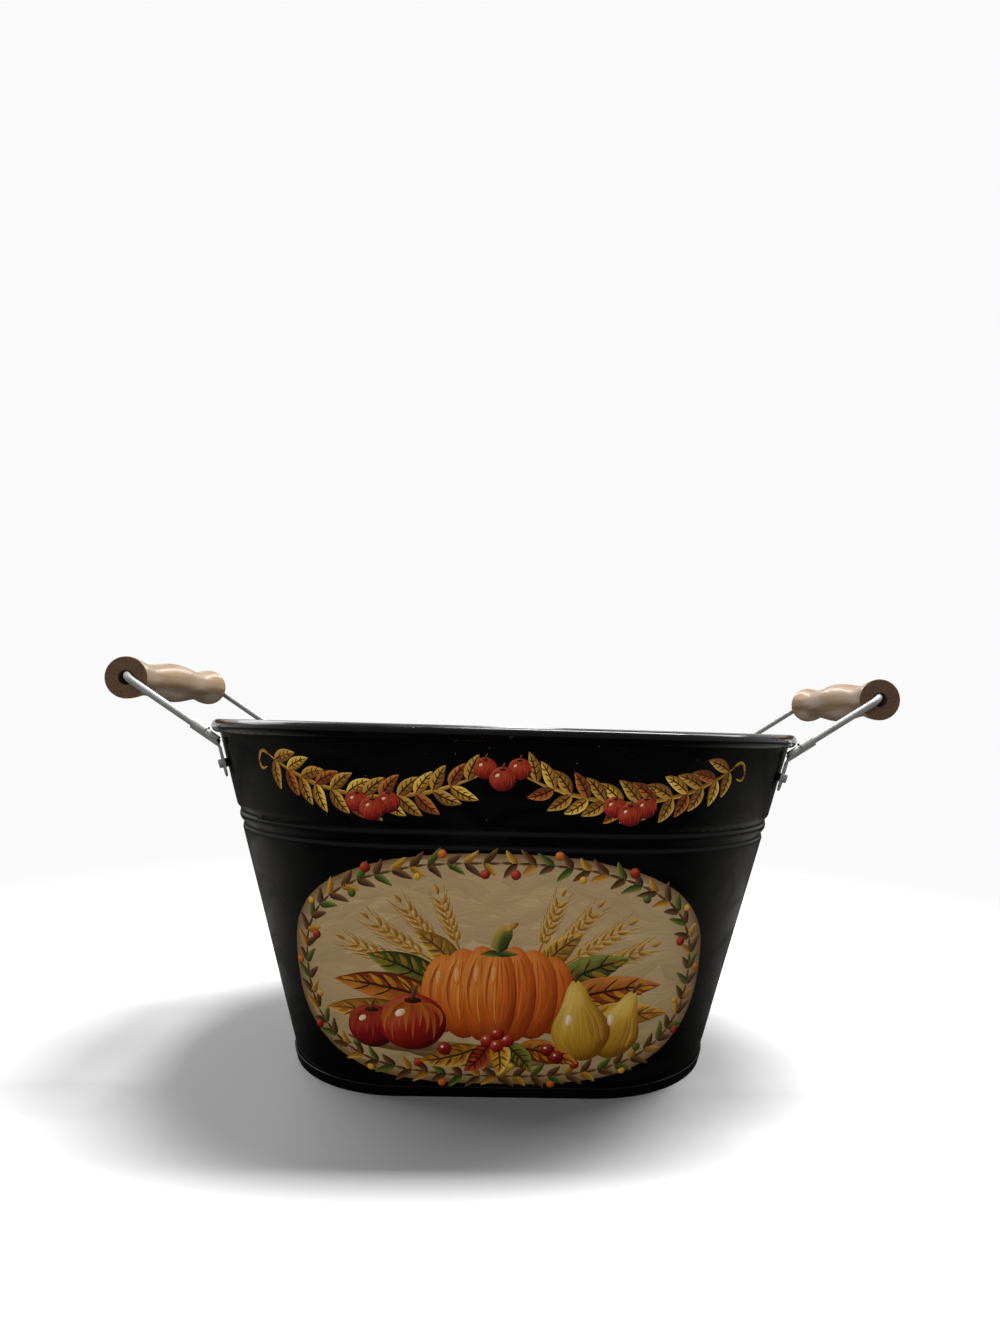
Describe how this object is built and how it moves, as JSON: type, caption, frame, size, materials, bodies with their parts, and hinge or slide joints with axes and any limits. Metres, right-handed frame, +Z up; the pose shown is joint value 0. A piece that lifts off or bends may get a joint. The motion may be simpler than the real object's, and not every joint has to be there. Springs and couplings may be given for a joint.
{
  "type": "oval metal bucket",
  "caption": "Oval tapered sheet-metal harvest bucket with a wired rim, rolled grooves, riveted wire bails and turned wooden grips that spin on the wire.",
  "frame": {"origin": "on the standing plane, under the middle of the tub", "axes": "+Z up, +X along the oval's length, the front long side faces -Y"},
  "size_m": [0.4378, 0.2428, 0.2272],
  "materials": {
    "black_paint": "satin black paint over sheet steel, lightly scuffed, with small chips along the rim",
    "zinc_steel": "dull bright zinc on steel wire, straps and rivets",
    "lacquered_wood": "pale turned hardwood under clear lacquer, with bare brown end grain",
    "decor_paint": "hand-brushed acrylic decoration on the tub's front"
  },
  "bodies": {
    "tub": {"tub_wall": "black_paint", "tub_bottom": "black_paint", "rim_wire": "zinc_steel", "left_bail_wire": "zinc_steel", "left_front_ear": "zinc_steel", "left_front_ear_rivet": "zinc_steel", "left_front_ear_spacer": "black_paint", "left_rear_ear": "zinc_steel", "left_rear_ear_rivet": "zinc_steel", "left_rear_ear_spacer": "black_paint", "right_bail_wire": "zinc_steel", "right_front_ear": "zinc_steel", "right_front_ear_rivet": "zinc_steel", "right_front_ear_spacer": "black_paint", "right_rear_ear": "zinc_steel", "right_rear_ear_rivet": "zinc_steel", "right_rear_ear_spacer": "black_paint"},
    "left_grip": {"left_wood_grip": "lacquered_wood"},
    "right_grip": {"right_wood_grip": "lacquered_wood"}
  },
  "joints": [
    {"name": "left_grip_spin", "type": "hinge", "parent": "tub", "child": "left_grip", "pos_m": [-0.20715, 0, 0.2155], "axis": [0, 1, 0], "continuous": true},
    {"name": "right_grip_spin", "type": "hinge", "parent": "tub", "child": "right_grip", "pos_m": [0.20715, 0, 0.2155], "axis": [0, 1, 0], "continuous": true}
  ]
}
